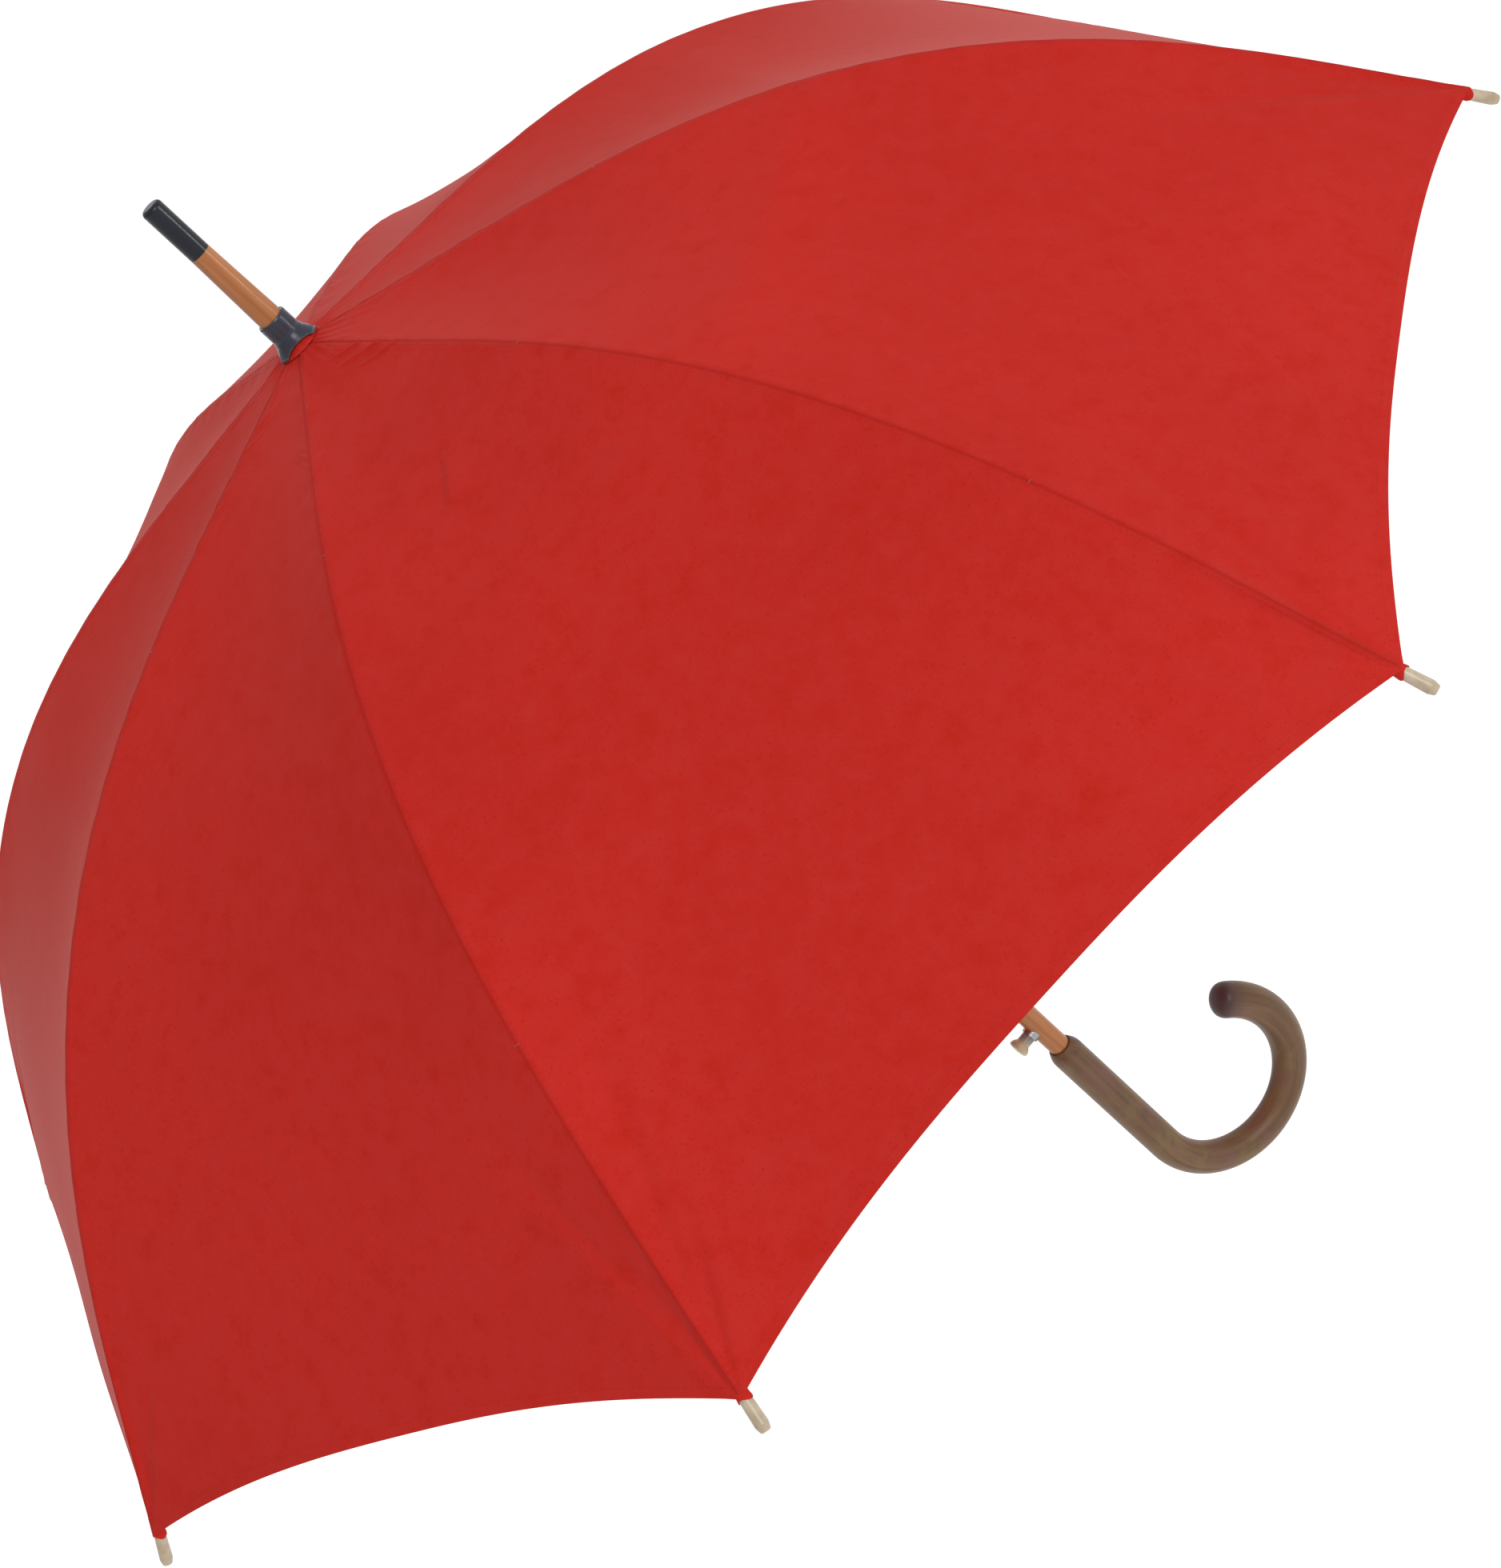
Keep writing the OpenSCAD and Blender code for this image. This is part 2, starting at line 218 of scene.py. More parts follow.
def canopy_cloth():
    """Red plain-weave cloth, mottled, with painted shade along the seams' pressed groove and a row of
    stitches.
    """
    n = Nodes("canopy_cloth")
    uv = n.coords("UV")
    across, along = n.separate(uv, 0), n.separate(uv, 1)
    weave_pitch, stitch_pitch, stitch_w = 0.00055, 0.0030, 0.28
    seam_stitch, hem_stitch = 2.6, 5.2
    wx = n.math("SINE", n.math("MULTIPLY", across, math.tau / weave_pitch))
    wy = n.math("SINE", n.math("MULTIPLY", along, math.tau / weave_pitch))
    weave = n.math("MULTIPLY", wx, wy)
    slub = n.noise(n.coords("UV", scale=(1400, 60, 1)), 1.0, 2.0)
    broad = n.noise(n.coords("Object"), 5.0, 2.0)
    fine = n.noise(n.coords("Object"), 190.0, 3.0)
    col = n.ramp(broad, (0.35, (0.450, 0.0212, 0.0172)), (0.65, (0.500, 0.0250, 0.0200)))
    mottle = n.noise(n.coords("Object"), 75.0, 7.0, 0.72)
    col = n.mix(n.above(mottle, 0.50, 3.0), col, (0.465, 0.0300, 0.0250))
    col = n.mix(n.below(mottle, 0.50, 3.0), col, (0.415, 0.0160, 0.0055))
    fleck = n.noise(n.coords("Object", scale=(900, 900, 420)), 1.0, 2.0)
    col = n.mix(n.below(fleck, 0.40, 3.5), col, (0.30, 0.0120, 0.0080))
    col = n.mix(n.math("MULTIPLY", fine, 0.22), col, (0.41, 0.0095, 0.0055))
    col = n.mix(n.math("MULTIPLY", slub, 0.14), col, (0.55, 0.030, 0.020))
    # painted shade darkens the cloth along the seam's groove; stitches run along the seam and along the hem
    from_seam, from_hem = n.attribute("seam_mm"), n.attribute("hem_mm")
    groove_shade = n.math("SUBTRACT", 1.0, n.math("MULTIPLY", from_seam, 0.50), clamp=True)
    # painted shade: the colour is darkened within about 2 mm of the seam, where the groove's shadow would
    # fall
    col = n.mix(n.math("MULTIPLY", groove_shade, 0.36), col, (0.20, 0.006, 0.005))
    rows = []
    for way, away, place in ((along, from_seam, seam_stitch), (across, from_hem, hem_stitch)):
        dash = n.math("GREATER_THAN", n.math("SINE", n.math("MULTIPLY", way, math.tau / stitch_pitch)), -0.35)
        line = n.math("LESS_THAN", n.math("ABSOLUTE", n.math("SUBTRACT", away, place)), stitch_w)
        rows.append(n.math("MULTIPLY", dash, line))
    stitch = n.math("MAXIMUM", *rows)
    col = n.mix(n.math("MULTIPLY", stitch, 0.22), col, (0.30, 0.012, 0.010))
    nrm = n.bump(weave, 0.10, 0.0001)
    nrm = n.bump(fine, 0.12, 0.0005, nrm)
    nrm = n.bump(stitch, 0.35, 0.0003, nrm)
    return n.out(Base_Color=col, Roughness=n.math("MULTIPLY_ADD", broad, 0.08, 0.42), Normal=nrm,
                 Sheen_Weight=0.055, Sheen_Roughness=0.42, Sheen_Tint=(1.0, 0.42, 0.28, 1),
                 Specular_IOR_Level=0.02, Specular_Tint=(1.0, 0.5, 0.4, 1))


def shaft_wood():
    """Turned, varnished wood: fine grain along Z."""
    n = Nodes("shaft_wood")
    grain = n.noise(n.coords("Object", scale=(110, 110, 5)), 1.4, 5.0, 0.6, 0.5)
    fibre = n.noise(n.coords("Object", scale=(520, 520, 16)), 1.5, 3.0)
    broad = n.noise(n.coords("Object"), 14.0, 2.0)
    col = n.ramp(grain, (0.32, (0.300, 0.100, 0.026)), (0.50, (0.385, 0.145, 0.042)),
                 (0.68, (0.470, 0.195, 0.062)))
    col = n.mix(n.below(fibre, 0.50, 1.6), col, (0.13, 0.036, 0.010))
    col = n.mix(n.math("MULTIPLY", broad, 0.25), col, (0.30, 0.115, 0.036))
    nrm = n.bump(fibre, 0.08, 0.0004)
    return n.out(Base_Color=col, Normal=nrm, Coat_Weight=0.12, Coat_Roughness=0.14, Specular_IOR_Level=0.30,
                 Roughness=n.math("MULTIPLY_ADD", grain, 0.14, 0.28))


def handle_wood():
    """Stained bent wood: the grain follows the bend, with olive and pink-brown patches and a dark end."""
    n = Nodes("handle_wood")
    v = n.add("Attribute", attribute_name="grain").outputs["Vector"]
    length = n.separate(v, 2)
    fine_v = n.add("Mapping", inputs={"Vector": v, "Scale": (150, 150, 9)}).outputs[0]
    grain = n.noise(fine_v, 1.3, 5.0, 0.62, 0.7)
    fibre = n.noise(n.add("Mapping", inputs={"Vector": v, "Scale": (600, 600, 26)}).outputs[0], 1.5, 3.0)
    patch = n.noise(v, 34.0, 3.0, 0.6, 0.4)
    patch2 = n.noise(n.add("Mapping", inputs={"Vector": v, "Location": (3, 5, 1)}).outputs[0], 52.0, 3.0)
    col = n.ramp(grain, (0.32, (0.104, 0.054, 0.026)), (0.50, (0.140, 0.075, 0.035)),
                 (0.70, (0.176, 0.102, 0.050)))
    col = n.mix(n.above(patch, 0.50, 3.2), col, (0.185, 0.130, 0.046))
    col = n.mix(n.above(patch2, 0.52, 3.6), col, (0.165, 0.072, 0.066))
    col = n.mix(n.below(fibre, 0.46, 1.2), col, (0.060, 0.030, 0.018))
    past = n.math("SUBTRACT", length, 2 * GRIP_HALF + HOOK_R * HOOK_TURN - 0.005)
    dark = n.math("MULTIPLY", n.math("MULTIPLY_ADD", patch, 0.004, past), 85, clamp=True)
    col = n.mix(n.math("MULTIPLY", dark, 0.92), col, (0.063, 0.036, 0.037))
    nrm = n.bump(fibre, 0.12, 0.0004)
    nrm = n.bump(grain, 0.10, 0.0005, nrm)
    return n.out(Base_Color=col, Normal=nrm, Coat_Weight=0.05, Coat_Roughness=0.20, Specular_IOR_Level=0.26,
                 Roughness=n.math("MULTIPLY_ADD", grain, 0.16, 0.32))


def metal(name, colour, rough, scratch=0.06, metallic=1.0, wear=None, spec=0.5):
    """Drawn metal or enamel: fine streaks along Z, blotches, and edges worn to the colour wear if given."""
    n = Nodes(name)
    s = n.noise(n.coords("Object", scale=(300, 300, 20)), 1.0, 4.0, 0.6)
    blotch = n.noise(n.coords("Object"), 70.0, 3.0)
    col = n.mix(n.math("MULTIPLY", blotch, 0.35), colour, tuple(0.72 * x for x in colour))
    if wear:
        geo = n.add("NewGeometry").outputs["Pointiness"]
        edge = n.above(geo, 0.53, 9.0)
        col = n.mix(n.math("MULTIPLY", edge, n.math("MULTIPLY", blotch, 0.9)), col, wear)
    return n.out(Base_Color=col, Metallic=metallic, Normal=n.bump(s, scratch, 0.0003),
                 Specular_IOR_Level=spec, Roughness=n.math("MULTIPLY_ADD", s, 0.16, rough - 0.08))


def plastic(name, light, dark, rough=0.30, far=None):
    """Moulded plastic, mottled, and with another colour at its +X end if far is given."""
    n = Nodes(name)
    a = n.noise(n.coords("Object"), 140.0, 3.0)
    b = n.noise(n.coords("Object"), 900.0, 2.0)
    col = n.ramp(a, (0.35, dark), (0.65, light))
    col = n.mix(n.math("MULTIPLY", b, 0.18), col, tuple(0.6 * x for x in dark))
    if far:
        x = n.separate(n.coords("Generated"), 0)
        col = n.mix(n.math("MULTIPLY", n.math("SUBTRACT", x, 0.32), 4.0, clamp=True), col, far)
    return n.out(Base_Color=col, Roughness=n.math("MULTIPLY_ADD", a, 0.12, rough - 0.06), Coat_Weight=0.2,
                 Normal=n.bump(b, 0.06, 0.0002))


def thread():
    """Red sewing thread."""
    n = Nodes("sewing_thread")
    s = n.noise(n.coords("Object"), 2500.0, 2.0)
    col = n.ramp(s, (0.3, (0.22, 0.010, 0.008)), (0.7, (0.42, 0.022, 0.018)))
    return n.out(Base_Color=col, Roughness=0.6, Normal=n.bump(s, 0.3, 0.0002), Sheen_Weight=0.3)


CLOTH = canopy_cloth()
SHAFT, HANDLE, THREAD = shaft_wood(), handle_wood(), thread()
FERRULE = metal("black_enamel", (0.006, 0.008, 0.015), 0.27, scratch=0.004, metallic=0.0, spec=0.32)
CAP = metal("dark_nickel", (0.026, 0.029, 0.046), 0.24, scratch=0.015, metallic=0.25,
            wear=(0.16, 0.16, 0.18))
HUB = metal("hub_steel", (0.16, 0.16, 0.17), 0.34, wear=(0.55, 0.55, 0.55))
STEEL = metal("rib_steel", (0.56, 0.56, 0.57), 0.30, wear=(0.8, 0.8, 0.8))
TIP = plastic("tip_plastic", (0.52, 0.43, 0.31), (0.38, 0.295, 0.195))
BUTTON = plastic("button_plastic", (0.52, 0.41, 0.26), (0.40, 0.30, 0.18), far=(0.20, 0.19, 0.17))

LOOK = {"shaft": SHAFT, "ferrule": FERRULE, "top_cap": CAP, "notch": HUB, "runner": HUB,
        "notch_wire": STEEL, "runner_wire": STEEL, "push_button": BUTTON, "button_guide": HUB}
for k in RIBS:
    LOOK.update({f"rib_inner_{k}": STEEL, f"rib_outer_{k}": STEEL, f"stretcher_{k}": STEEL})
    LOOK[f"tip_cap_{k}"] = TIP
for name, mat in LOOK.items():
    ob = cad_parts[name]
    for slot in ob.material_slots:
        slot.material = mat
    if not ob.material_slots:
        ob.data.materials.append(mat)

# ---------------------------------------------------------------- canopy
def waves(seed, count, low, high):
    """Smooth folds: a sum of a few sines with seeded directions."""
    rnd = random.Random(seed)
    parts = []
    for _ in range(count):
        a = rnd.uniform(0, math.tau)
        f = rnd.uniform(low, high)
        parts.append((f * math.cos(a), f * math.sin(a), rnd.uniform(0, math.tau), rnd.uniform(0.5, 1.0)))
    total = sum(p[3] for p in parts)
    return lambda x, y: sum(w * np.sin(fx * x + fy * y + ph) for fx, fy, ph, w in parts) / total


# How far each panel sags between its ribs, as a share of SAG: those at the back are pulled tauter.
FULL = {1: 0.55, 2: 0.55, 3: 0.6, 4: 0.8, 5: 1.0, 6: 1.0, 7: 1.0, 8: 1.0}


def pull(k, s, u):
    """How far panel k sags, with u from -1 to 1 across it."""
    return FULL[k] * SAG * np.maximum(np.sin(math.pi * np.clip(s, 0, 1)), 0) ** 1.5 * (1 - u * u)


def hem_share(u):
    """Share of the seam's length at which the hem runs."""
    return 1 - HEM_RISE * (1 - np.abs(u) ** 2.6)


# Puckers that run from a seam towards the crown: place along the seam, length, height (metres).
# The front panel's are the ones in the photo, and the others are seeded.
PUCKERS = {(6, 1): [(0.042, 0.014, 0.0012), (0.058, 0.018, 0.0014), (0.072, 0.016, 0.0012)]}
for k in RIBS:
    for side in (-1, 1):
        rnd = random.Random(100 * k + side)
        PUCKERS.setdefault((k, side), [(rnd.uniform(0.030, 0.110), rnd.uniform(0.008, 0.014),
                                        rnd.uniform(0.0001, 0.0003)) for _ in range(4)])

# Folds that fan out of each tip: angle from the seam (radians), height (below zero: a valley), reach.
TIP_FOLDS = {}
for k in RIBS:
    for side in (-1, 1):
        rnd = random.Random(700 * k + side)
        TIP_FOLDS[k, side] = [(a + rnd.uniform(-0.02, 0.02), -rnd.uniform(0.0012, 0.0021),
                               rnd.uniform(0.06, 0.13)) for a in (0.07, 0.17, 0.30)]

# The soft ridge that each panel has between the flexing joints of its two ribs: its place as a share of
# the seam, its height, how round it is, how far it reaches, and its strength on each panel, by the photo.
RIDGE_AT, RIDGE_H, RIDGE_ROUND, RIDGE_REACH = 0.455, 0.0026, 0.008, 0.045
RIDGE = {1: 1.0, 2: 1.2, 3: 0.9, 4: 1.0, 5: 2.2, 6: 0.7, 7: 2.3, 8: 1.2}

# The one creased step in the front panel: across and along the panel, from its one end to its other.
CREASE_PANEL, CREASE = 6, (0.006, 0.163, -0.012, 0.199)

# Width of the doubled cloth beside a seam, and of the turned hem.
SEAM_DOUBLE, HEM_DOUBLE = 0.0042, 0.0058


def puckers(k, side, y, d):
    """Short ridges that leave a seam at 45 degrees: y along the seam, d away from it."""
    h = 0
    for start, length, height in PUCKERS[k, side]:
        across = (y - start + d) * 0.707
        h = h + height * bell(across, 0, 0.0011) * ease(d / 0.0015) * ease((length - d) / 0.006)
    return h


def tip_folds(k, side, y, d):
    """Valleys that fan out of the tip."""
    before = np.maximum(RIB_L - y, 0.001)
    to_tip, fan = np.hypot(before, d), np.arctan2(d, before)
    h = 0
    for angle, height, reach in TIP_FOLDS[k, side]:
        width = 0.055 + 0.001 / np.maximum(to_tip, 0.004)
        fold = bell(fan, angle, width) * bell(to_tip, reach * 0.6, reach * 0.55)
        h = h + height * fold * ease(d / 0.004)
    return h


def gathers(k, x, y, u, d):
    """Small waves along the seam and round the crown."""
    along_seam = np.sin(math.tau * y / 0.023 + 2 * WAVES[k][1](y, 0 * x))
    round_crown = np.sin(x / 0.0013 + 5 * u) * np.exp(-np.maximum(y, 0) / 0.014)
    return (0.00016 * along_seam * bell(d, 0.007, 0.007) * ease(d / 0.003)
            + 0.00040 * round_crown * ease(y / 0.006) * ease(d / 0.002))


def crease(x, y):
    """A step with soft ends along the line CREASE."""
    ax, ay, bx, by = CREASE
    length = math.hypot(bx - ax, by - ay)
    along = ((x - ax) * (bx - ax) + (y - ay) * (by - ay)) / length
    aside = ((x - ax) * (by - ay) - (y - ay) * (bx - ax)) / length
    ends = ease(along / 0.008) * ease((length - along) / 0.008)
    return 0.0008 * np.tanh(aside / 0.0012) * bell(aside, 0, 0.011) * ends


def relief(k, s, u, s_hem):
    """Height of the cloth above its smooth shape, in metres."""
    r, _ = seam_at(s)
    half_w = r * math.sin(HALF)
    d = (1 - np.abs(u)) * half_w
    x, y = u * half_w, s * RIB_L
    h = 0.0013 * WAVES[k][0](y, x) * ease(d / 0.035) * ease(y / 0.10)
    t = y - RIDGE_AT * RIB_L
    from_ridge = np.sqrt(t * t + RIDGE_ROUND ** 2) - RIDGE_ROUND
    h += RIDGE[k] * RIDGE_H * np.exp(-from_ridge / RIDGE_REACH) * (1 - u ** 4)
    for side in (-1, 1):
        here = ease(0.5 + side * u / 0.02)
        h += here * (puckers(k, side, y, d) + tip_folds(k, side, y, d))
    h += gathers(k, x, y, u, d)
    if k == CREASE_PANEL:
        h += crease(x, y)
    # pressed seam with doubled cloth beside it, and the turned hem
    h -= 0.00035 * bell(d, 0, 0.0011)
    h += 0.00012 * (1 - ease((d - SEAM_DOUBLE) / 0.0016)) * ease(d / 0.0014)
    h += 0.00016 * (1 - ease(((s_hem - s) * RIB_L - HEM_DOUBLE) / 0.0014))
    return h


def cloth_point(k, s, u, s_hem, lift):
    """Points of the cloth's upper side: arrays of s and u give an array of x, y, z."""
    r, z = seam_at(s)
    a = slope(np.clip(s, 0, 1))
    drop = pull(k, s, u) - lift - relief(k, s, u, s_hem)
    rho = r * math.cos(HALF) - drop * np.sin(a)
    side = r * math.sin(HALF) * u
    mid = rib_angle(k) + HALF
    return np.stack([rho * math.cos(mid) - side * math.sin(mid), rho * math.sin(mid) + side * math.cos(mid),
                     CROWN_Z + z - drop * np.cos(a)], -1)


def cloth_normal(k, s, u, s_hem):
    """The upper side's normal, found the same way on all pieces of a panel so that they shade as one."""
    ds, du = 0.0008, 0.006
    right, left = np.minimum(u + du, 1), np.maximum(u - du, -1)
    along = cloth_point(k, s + ds, u, s_hem, 0.0) - cloth_point(k, s - ds, u, s_hem, 0.0)
    across = cloth_point(k, s, right, s_hem, 0.0) - cloth_point(k, s, left, s_hem, 0.0)
    n = np.cross(along, across)
    return n / np.linalg.norm(n, axis=-1, keepdims=True)


# Two sets of soft waves for each panel: broad swells, and a ripple that moves the gathers along a seam.
WAVES = {k: (waves(31 * k + 5, 5, 16.0, 40.0), waves(17 * k + 3, 4, 20, 70)) for k in RIBS}

# Where a panel's middle meets its borders: u is 0 in the panel's middle and 1 or -1 at its seams.
EDGE = 0.75


def columns(u0, u1):
    """Columns from u0 to u1 across a panel, closer together beside a seam."""
    border, middle, closer = 19, 49, 1.3
    if abs(u0) == 1:
        return u0 + (u1 - u0) * np.linspace(0, 1, border) ** closer
    if abs(u1) == 1:
        return u1 + (u0 - u1) * np.linspace(1, 0, border) ** closer
    return np.linspace(u0, u1, middle)


# Each panel's stretches from the crown to the hem. ROWS: shares of the seam's length. PARTS: the cloth body
# that the middle rides on, the rib body that the borders ride on, and what is left of the width when
# closed, for the middle and for the borders. The waist ends in a tongue under the hem stretch, and
# TONGUE_STEP is the share of the seam in which it goes down there.
CROWN_END = 0.18
TONGUE_STEP = 0.0008
ROWS = {"crown": np.concatenate([np.linspace(-0.0078, 0.03, 26), np.linspace(0.03, CROWN_END, 82)[1:]]),
        "waist": np.concatenate([np.linspace(CROWN_END, 0.21, 17), np.linspace(0.21, FLEX, 55)[1:],
                                 FLEX + np.array([TONGUE_STEP, 0.006, 0.014])]),
        "hem": np.linspace(0, 1, 131)}
PARTS = {"crown": ("inner", "rib", 0.28, 0.95), "waist": ("inner", "rib", 0.14, 0.48),
         "hem": ("outer", "rib_end", 0.105, 0.29)}


def sheet_mesh(name, top, normal, info, uv):
    """A thin closed shell from a grid of points, with the same normals wherever two shells meet."""
    rows, cols = top.shape[:2]
    count = rows * cols
    under = top - normal * CLOTH_T
    verts = np.concatenate([top.reshape(-1, 3), under.reshape(-1, 3)])
    number = np.arange(count).reshape(rows, cols)
    edge = np.concatenate([number[0, :-1], number[:-1, -1], number[-1, :0:-1], number[:0:-1, 0]])
    after = np.roll(edge, -1)
    rim = np.stack([edge, after, after + count, edge + count], 1)
    faces = np.concatenate([grid(rows, cols), grid(rows, cols, count, True), rim])
    ob = new_mesh(name, verts.tolist(), faces.tolist())
    me = ob.data
    flat_n = normal.reshape(-1, 3)
    point_n = np.concatenate([flat_n, -flat_n])
    loop_n = point_n[faces.ravel()].reshape(-1, 4, 3)
    a, b, c = (verts[faces[-len(rim):, q]] for q in (0, 1, 2))
    side_n = np.cross(b - a, c - a)
    side_n /= np.maximum(np.linalg.norm(side_n, axis=1, keepdims=True), 1e-12)
    loop_n[-len(rim):] = side_n[:, None, :]
    me.normals_split_custom_set(loop_n.reshape(-1, 3).tolist())
    for label, values in info.items():
        at = me.attributes.new(label, "FLOAT", "POINT")
        at.data.foreach_set("value", np.tile(np.minimum(values, 99.0).ravel(), 2).astype(np.float32))
    layer = me.uv_layers.new(name="UVMap")
    flat_uv = np.tile(uv.reshape(-1, 2), (2, 1))
    layer.data.foreach_set("uv", flat_uv[faces.ravel()].astype(np.float32).ravel())
    me.materials.append(CLOTH)
    down, right = top[1:, :-1] - top[:-1, :-1], top[:-1, 1:] - top[:-1, :-1]
    area = np.linalg.norm(np.cross(down, right), axis=-1).sum()
    return ob, float(area)


def cloth_piece(name, k, part, u0, u1, body):
    """The part of panel k between u0 and u1. It rides on body."""
    u = columns(u0, u1)[None, :]
    if part == "hem":
        s_hem = hem_share(u)
        s = FLEX + (s_hem - FLEX) * ROWS[part][:, None]
        lift = 0.0
    else:
        # the hem is far away, and the tongue goes down by the cloth's thickness and then a little more
        s_hem = 2.0
        s = np.repeat(ROWS[part][:, None], u.shape[1], 1)
        past = s - FLEX
        lift = -0.00035 * ease(past / TONGUE_STEP) - 0.0006 * ease((past - TONGUE_STEP) / 0.010)
    u, s_hem = np.broadcast_to(u, s.shape), np.broadcast_to(s_hem, s.shape)
    width = seam_at(s)[0] * math.sin(HALF)
    ob, area = sheet_mesh(name, cloth_point(k, s, u, s_hem, lift), cloth_normal(k, s, u, s_hem),
                          {"seam_mm": (1 - np.abs(u)) * width / MM, "hem_mm": (s_hem - s) * RIB_L / MM},
                          np.stack([width * u + 0.5 * k, s * RIB_L], -1))
    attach(ob, body)
    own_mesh(ob)
    return ob


def panel(k):
    """Each panel is one cloth: a middle that folds into the pleat, and a border along each of its two ribs.
    The pieces meet on the same surface with the same normals."""
    after = k % 8 + 1
    for part, (cad, rib, keep_middle, keep_border) in PARTS.items():
        middle = cloth_piece(f"cloth_{part}_{k}", k, part, -EDGE, EDGE, f"cloth_{cad}_{k}")
        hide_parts(f"canopy_{cad}_{k}")
        for letter, rib_k, u0, u1 in (("a", k, -1, -EDGE), ("b", after, EDGE, 1)):
            cloth_piece(f"cloth_{part}_{k}{letter}", k, part, u0, u1, f"{rib}_{rib_k}")


for k in RIBS:
    panel(k)


# ---------------------------------------------------------------- small cloth pieces at the ribs
def rib_frame(k, s, drop=RIB_OFF):
    """Point on rib k under the seam, with the directions along it, out of it and across it."""
    r, z = (float(v) for v in seam_at(np.array(s)))
    a = float(slope(min(max(s, 0), 1)))
    e = direction(rib_angle(k))
    up = Vector((0, 0, 1))
    out = e * math.sin(a) + up * math.cos(a)
    along = e * math.cos(a) - up * math.sin(a)
    across = direction(rib_angle(k) + math.pi / 2)
    return e * r + up * (CROWN_Z + z) - out * drop, along, out, across


def ring(name, place, rx, ry, tube, mat, body):
    """A turn of sewing thread round a rib."""
    centre, along, out, across = place
    verts, faces, m, q = [], [], 28, 8
    for i in range(m):
        t = math.tau * i / m
        base = centre + across * (rx * math.cos(t)) + out * (ry * math.sin(t))
        n_dir = (across * math.cos(t) + out * math.sin(t)).normalized()
        for j in range(q):
            b = math.tau * j / q
            verts.append(base + n_dir * (tube * math.cos(b)) + along * (tube * math.sin(b)))
    for i in range(m):
        for j in range(q):
            a, b = i * q + j, i * q + (j + 1) % q
            c, d = ((i + 1) % m) * q + (j + 1) % q, ((i + 1) % m) * q + j
            faces.append((a, b, c, d))
    ob = new_mesh(name, verts, faces)
    ob.data.materials.append(mat)
    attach(ob, body)


def thicken(ob, thickness, offset):
    """Makes plain cloth, with no seam or hem near it, of a surface."""
    for label in ("seam_mm", "hem_mm"):
        at = ob.data.attributes.new(label, "FLOAT", "POINT")
        at.data.foreach_set("value", [50.0] * len(ob.data.vertices))
    ob.data.materials.append(CLOTH)
    solid = ob.modifiers.new("thickness", "SOLIDIFY")
    solid.thickness = thickness
    solid.offset = offset


def tip_wrap(k):
    """The doubled corner of the cloth, sewn round the mouth of the tip cap. The rows are rings: place along
    the rib, radius across it and radius out of it, in millimetres."""
    centre, along, out, across = rib_frame(k, 1.0)
    verts, q = [], 40
    rows = [(-8, 1.7, 1.9), (-6, 2.0, 2.3), (-3, 2.6, 2.7), (-1, 2.9, 3.0), (0.4, 3.05, 3.05),
            (1.2, 3.05, 3.05)]
    rnd = random.Random(900 + k)
    skew = rnd.uniform(-0.25, 0.25)
    for i, (x, rx, ry) in enumerate(rows):
        for j in range(q):
            t = math.tau * j / q
            lip = 0.8 * math.cos(2 * (t + skew)) * float(ease((x + 3) / 4.2))
            fold = 1 + 0.03 * math.sin(6 * t + 0.7 * i + k)
            verts.append(centre + along * ((x + lip) * MM) + across * (rx * MM * fold * math.cos(t))
                         + out * (ry * MM * fold * math.sin(t)))
    ob = new_mesh(f"tip_wrap_{k}", verts, tube_faces(len(rows), q))
    thicken(ob, 0.0004, 1.0)
    smooth = ob.modifiers.new("smooth", "SUBSURF")
    smooth.levels = smooth.render_levels = 2
    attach(ob, f"rib_end_{k}")


for k in RIBS:
    tip_wrap(k)
    for part, s, body in (("a", 0.27, f"rib_{k}"), ("b", 0.72, f"rib_end_{k}")):
        ring(f"rib_tie_{k}{part}", rib_frame(k, s, 0.0025), 0.0017, 0.00235, 0.00028, THREAD, body)


def crown_collar():
    """The cloth's gathered edge round the shaft, seen through the arches of the top cap. The rings are
    radius and height above the crown, in millimetres."""
    rings = [(12.4, 0.45), (11.4, 1.05), (10.2, 1.9), (9.1, 2.7), (8.0, 3.45), (7.2, 4.0), (6.9, 4.2)]
    q, verts = 144, []
    for i, (r, z) in enumerate(rings):
        for j in range(q):
            t = math.tau * j / q
            ruffle = 0.14 * math.sin(31 * t + 0.9 * i) + 0.08 * math.sin(17 * t)
            verts.append(direction(t) * (r * MM) + Vector((0, 0, CROWN_Z + (z + ruffle) * MM)))
    ob = new_mesh("crown_collar", verts, tube_faces(len(rings), q))
    thicken(ob, CLOTH_T, 0.0)
    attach(ob, "mast")


crown_collar()


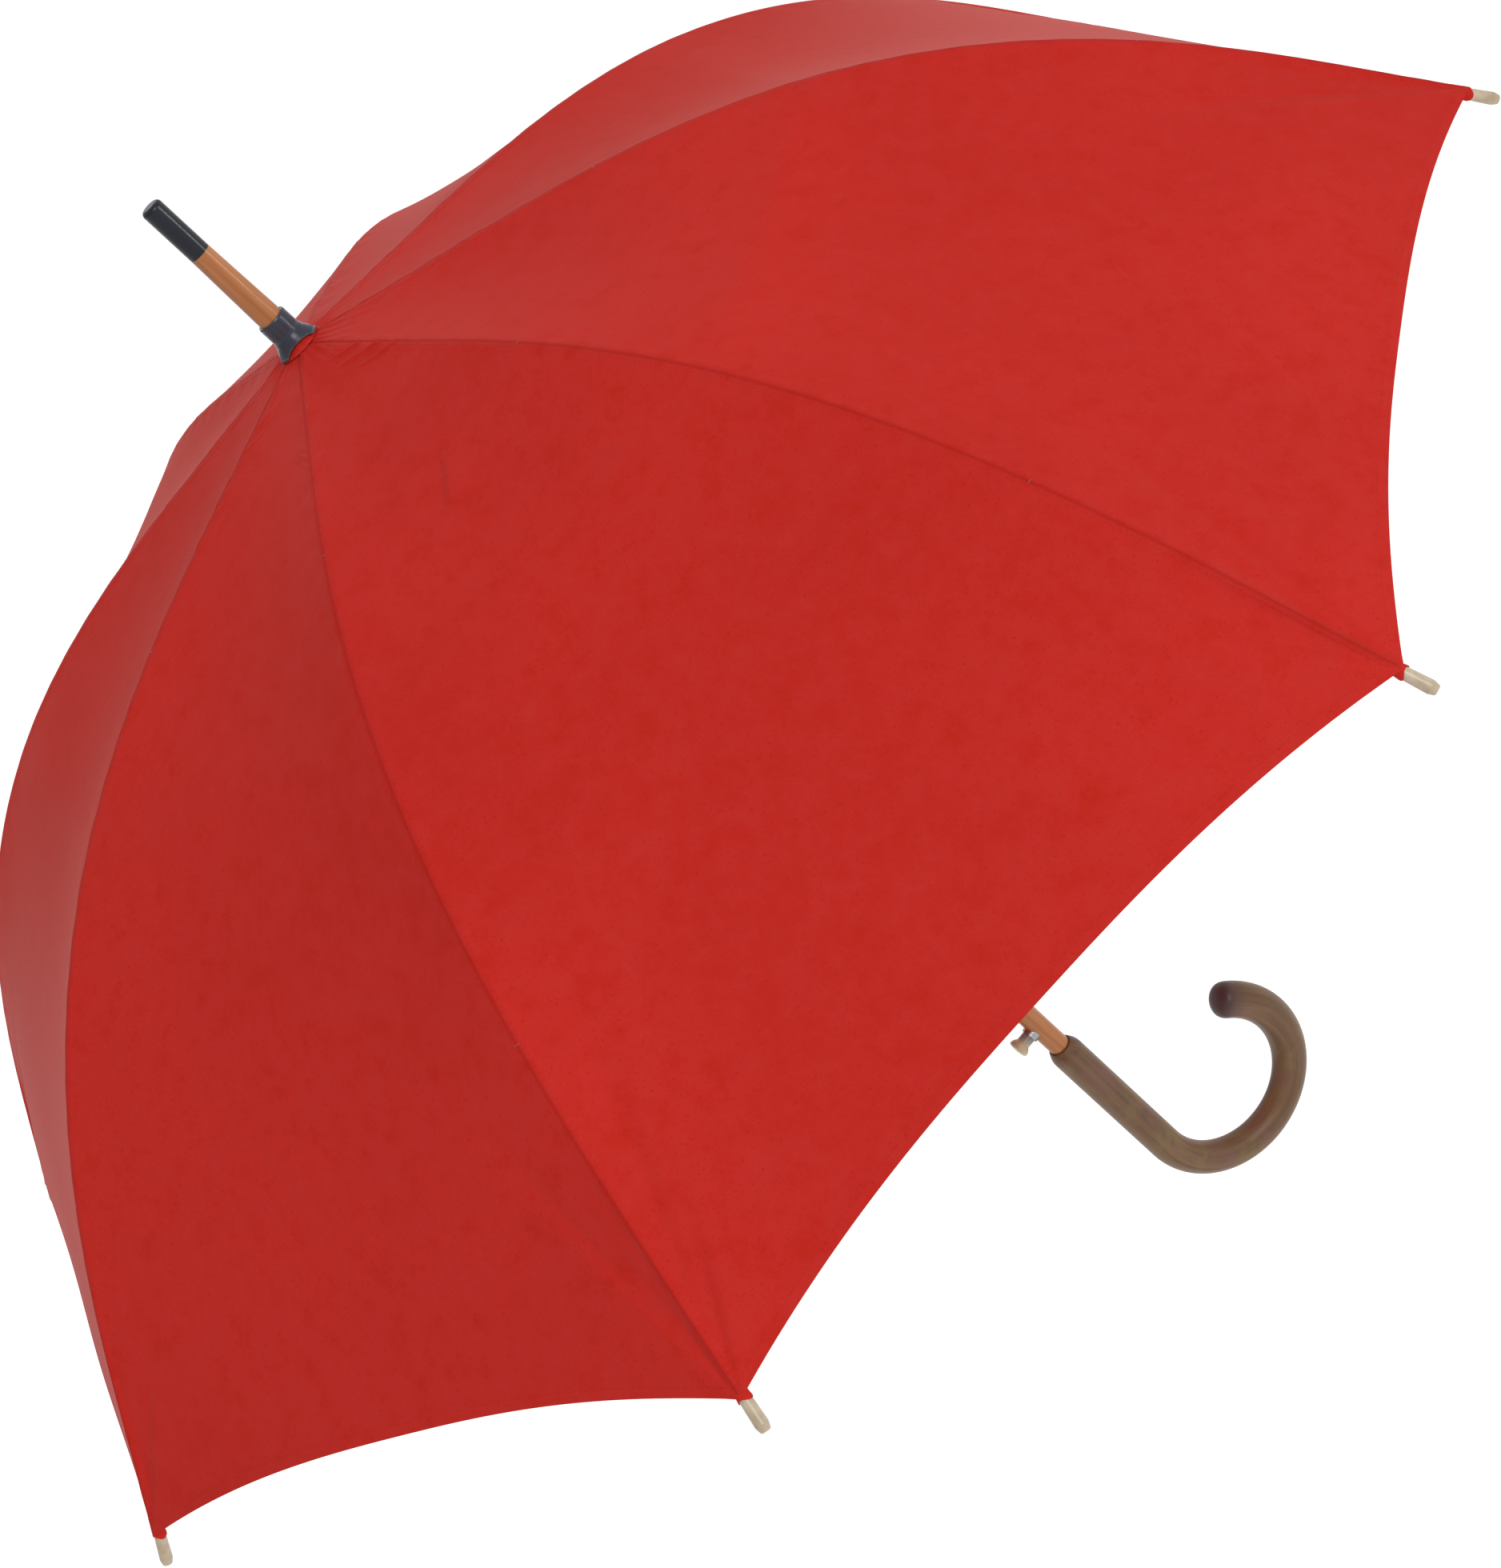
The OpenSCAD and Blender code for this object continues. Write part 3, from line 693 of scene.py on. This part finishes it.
# ---------------------------------------------------------------- handle
def handle_path():
    """Rows of the handle: place, in-plane normal, radius and length along the grain. They go up the shaft's
    bore, over the mouth, down the outside of the grip and round the hook to its rounded end."""
    z0, bore_z, bore_r = GRIP_HALF, -0.020, 0.0068
    lip_z, lip_r, shoulder = z0 - 0.0012, 0.0081, 0.0078
    down = [(bore_z, 0.0), (bore_z, bore_r), (z0 - 0.0004, bore_r), (z0, 0.0074), (lip_z, lip_r)]
    down += [(lip_z - shoulder * t, lip_r + (HANDLE_R - lip_r) * math.sin(t * math.pi / 2) ** 0.9)
             for t in np.linspace(0.08, 1, 12)]
    down += [(z, HANDLE_R) for z in np.linspace(z0 - 0.012, -z0, 26)]
    rows = [(Vector((0, 0, z)), Vector((-1, 0, 0)), r, z0 - z) for z, r in down]
    for i in range(1, 111):
        a = HOOK_TURN * i / 110
        r = HANDLE_R + (HOOK_END_R - HANDLE_R) * float(ease((i / 110 - 0.45) / 0.5))
        rows.append((Vector((HOOK_R - HOOK_R * math.cos(a), 0, -z0 - HOOK_R * math.sin(a))),
                     Vector((-math.cos(a), 0, -math.sin(a))), r, 2 * z0 + HOOK_R * a))
    end, normal, r, length = rows[-1]
    tangent = Vector((math.sin(HOOK_TURN), 0, -math.cos(HOOK_TURN)))
    for t in np.sin(np.linspace(0.03, 1, 18) * math.pi / 2):
        end_r = r * max(1 - t ** 2.6, 0) ** (1 / 2.6)
        rows.append((end + tangent * (0.0100 * t), normal, end_r, length + 0.01 * t))
    return rows


def build_handle():
    """The wooden handle, with the attribute that makes its grain follow the bend."""
    q = 72
    verts, grain = [], []
    rows = handle_path()
    for place, normal, r, length in rows:
        for j in range(q):
            t = math.tau * j / q
            wide = max(r, 1e-5)
            verts.append(place + normal * (wide * math.cos(t)) + Vector((0, wide * math.sin(t), 0)))
            grain.append((r * math.cos(t), r * math.sin(t), length))
    ends = [tuple(range(q)), tuple(reversed(range(len(verts) - q, len(verts))))]
    ob = new_mesh("handle_wood", verts, tube_faces(len(rows), q) + ends)
    bm = bmesh.new()
    bm.from_mesh(ob.data)
    bmesh.ops.recalc_face_normals(bm, faces=bm.faces)
    bm.to_mesh(ob.data)
    bm.free()
    at = ob.data.attributes.new("grain", "FLOAT_VECTOR", "POINT")
    at.data.foreach_set("vector", [c for g in grain for c in g])
    ob.data.materials.append(HANDLE)
    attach(ob, "mast")
    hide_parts("handle")


build_handle()

# ---------------------------------------------------------------- floor, light, camera
# the camera, fitted to the rib seams, the tips, the shaft and the handle in the photo
cam_data = bpy.data.cameras.new("camera")
cam_data.lens, cam_data.sensor_width, cam_data.sensor_fit = 65.127, 36.0, "AUTO"
cam = bpy.data.objects.new("camera", cam_data)
scene.collection.objects.link(cam)
cam.location = (-0.11796, -1.38745, 1.07349)
cam.rotation_euler = tuple(math.radians(v) for v in (51.6857, 40.5926, -31.6760))
scene.camera = cam

FLOOR_Z, FLOOR_HALF = -0.95, 60
corners = [(x * FLOOR_HALF, y * FLOOR_HALF, FLOOR_Z) for x, y in ((-1, -1), (1, -1), (1, 1), (-1, 1))]
floor = new_mesh("floor", corners, [(0, 1, 2, 3)], smooth=False)
fm = Nodes("floor_paint")
cloud = fm.math("MULTIPLY", fm.noise(fm.coords("Object"), 0.7, 2.0), 0.03)
fcol = fm.mix(cloud, (0.92, 0.92, 0.92), (0.88, 0.88, 0.88))
floor.data.materials.append(fm.out(Base_Color=fcol, Roughness=0.9, Specular_IOR_Level=0.1,
                                   Emission_Color=(1, 1, 1, 1), Emission_Strength=0.36))

world = bpy.data.worlds.new("studio")
scene.world = world
world.use_nodes = True
# white, and a little brighter on one side
tree = world.node_tree
bright_side, mean_strength, swing = Vector((0.62, -0.30, 0.60)).normalized(), 0.64, 0.20
facing = tree.nodes.new("ShaderNodeVectorMath")
facing.operation = "DOT_PRODUCT"
facing.inputs[1].default_value = bright_side
tree.links.new(tree.nodes.new("ShaderNodeTexCoord").outputs["Generated"], facing.inputs[0])
level = tree.nodes.new("ShaderNodeMath")
level.operation = "MULTIPLY_ADD"
level.inputs[1].default_value, level.inputs[2].default_value = swing, mean_strength
tree.links.new(facing.outputs["Value"], level.inputs[0])
tree.links.new(level.outputs[0], tree.nodes["Background"].inputs[1])
tree.nodes["Background"].inputs[0].default_value = (1.0, 1.0, 1.0, 1)


def light(name, kind, power, place, target):
    """A new light at place that shines at target. Its data are returned for the rest of its settings."""
    data = bpy.data.lights.new(name, kind)
    data.energy = power
    ob = bpy.data.objects.new(name, data)
    scene.collection.objects.link(ob)
    ob.location = place
    ob.rotation_euler = (Vector(target) - Vector(place)).to_track_quat("-Z", "Y").to_euler()
    return data


CANOPY_MID = Vector((0, 0, 0.5))
key = light("key", "AREA", 43, CANOPY_MID + 3.6 * Vector((0.24, -0.86, 0.48)).normalized(), CANOPY_MID)
key.shape, key.size, key.color = "DISK", 2.0, (1.0, 0.985, 0.96)
# a narrow spot that puts the highlight on the ferrule and the top cap
spike = light("spike_spot", "SPOT", 240, (2.08, -1.51, 0.50), (0, 0, 0.90))
spike.shadow_soft_size = 0.30
spike.spot_size, spike.spot_blend = math.radians(7.0), 0.8
back = light("back", "AREA", 8, (0.6, 2.8, 2.4), (0, 0, 0.6))
back.shape, back.size = "DISK", 2.0
scene.view_settings.view_transform = "Standard"
